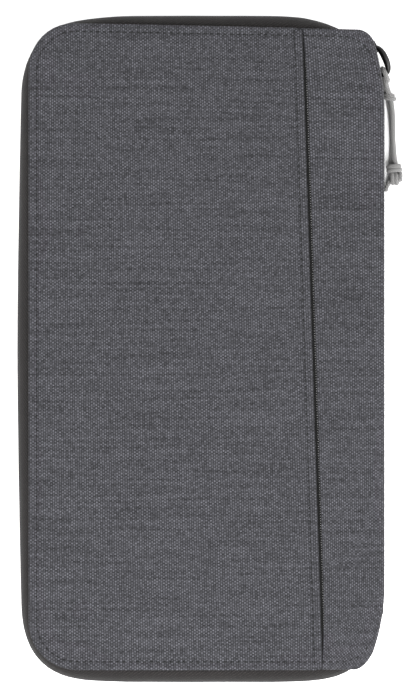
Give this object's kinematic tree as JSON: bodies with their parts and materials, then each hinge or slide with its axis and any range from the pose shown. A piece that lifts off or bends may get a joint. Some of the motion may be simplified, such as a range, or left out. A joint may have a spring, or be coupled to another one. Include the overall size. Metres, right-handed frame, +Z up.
{
  "type": "passport holder wallet",
  "caption": "Zip-around fabric travel wallet that opens like a book, with an outer slip pocket, inner pockets and a corded zip puller.",
  "frame": {"origin": "middle of the face the closed wallet rests on, the outside of its back cover", "axes": "+X across the wallet to the spine, +Y along the spine, +Z up out of the front cover"},
  "size_m": [0.1398, 0.2408, 0.024],
  "materials": {
    "shell_fabric": "melange grey plain-weave polyester",
    "stiffener": "foam board",
    "foil": "screening foil",
    "lining": "dark grey taffeta",
    "pocket_fabric": "dark grey twill",
    "binding": "black grosgrain",
    "elastic": "black woven elastic",
    "zip_tape": "near-black woven tape",
    "zip_coil": "black nylon coil",
    "dark_metal": "gunmetal plated zinc",
    "cord": "light grey braided cord"
  },
  "bodies": {
    "back_half": {"back_shell_fabric": "shell_fabric", "back_stiffener": "stiffener", "back_rfid_layer": "foil", "back_lining": "lining", "back_binding": "binding", "zip_tape_back": "zip_tape", "zip_coil_back": "zip_coil", "zip_stops_back": "dark_metal", "banknote_pocket": "pocket_fabric", "coin_pocket_panel": "pocket_fabric", "coin_pocket_top": "pocket_fabric", "coin_zip_tapes": "zip_tape", "coin_zip_coils": "zip_coil", "coin_zip_stops": "dark_metal"},
    "spine": {"spine_fabric": "shell_fabric", "spine_stiffener": "stiffener", "spine_lining": "lining", "pen_loop": "elastic"},
    "front_half": {"front_shell_fabric": "shell_fabric", "front_pocket_panel": "shell_fabric", "front_pocket_hem": "shell_fabric", "front_stiffener": "stiffener", "front_rfid_layer": "foil", "front_lining": "lining", "front_binding": "binding", "zip_tape_front": "zip_tape", "zip_coil_front": "zip_coil", "zip_stops_front": "dark_metal", "ticket_pocket": "pocket_fabric", "card_slot_1": "pocket_fabric", "card_slot_2": "pocket_fabric", "card_slot_3": "pocket_fabric", "card_slot_4": "pocket_fabric", "passport_pocket": "pocket_fabric"},
    "zip_slider": {"zip_slider_body": "dark_metal", "zip_slider_bail": "dark_metal"},
    "zip_puller": {"zip_puller_ring": "dark_metal", "pull_cord_a": "cord", "pull_cord_b": "cord", "pull_cord_knot_upper": "cord", "pull_cord_knot_end": "cord"},
    "coin_slider": {"coin_zip_slider": "dark_metal"},
    "coin_pull": {"coin_zip_pull": "dark_metal"}
  },
  "joints": [
    {"name": "spine_fold", "type": "hinge", "parent": "back_half", "child": "spine", "pos_m": [0.066, 0, 0], "axis": [0, 1, 0], "range_deg": [0, 90], "deforming": ["pull_cord_a", "pull_cord_b", "pull_cord_knot_upper", "pull_cord_knot_end"]},
    {"name": "cover_fold", "type": "hinge", "parent": "spine", "child": "front_half", "pos_m": [0.066, 0, 0.024], "axis": [0, 1, 0], "range_deg": [0, 90]},
    {"name": "zip_travel", "type": "hinge", "parent": "back_half", "child": "zip_slider", "pos_m": [0.0348, 0.092, 0.012], "axis": [0, 0, 1], "range_deg": [0, 54]},
    {"name": "puller_swing", "type": "hinge", "parent": "zip_slider", "child": "zip_puller", "pos_m": [0.06223, 0.10848, 0.0115], "axis": [0, 0, 1], "range_deg": [0, 130]},
    {"name": "coin_zip_travel", "type": "slide", "parent": "back_half", "child": "coin_slider", "axis": [1, 0, 0], "range_m": [0, 0.076]},
    {"name": "coin_pull_swing", "type": "hinge", "parent": "coin_slider", "child": "coin_pull", "pos_m": [-0.0399, -0.01, 0.00695], "axis": [0, -1, 0], "range_deg": [0, 100]}
  ],
  "couplings": [
    {"joint": "cover_fold", "follows": "spine_fold", "ratio": 1}
  ]
}
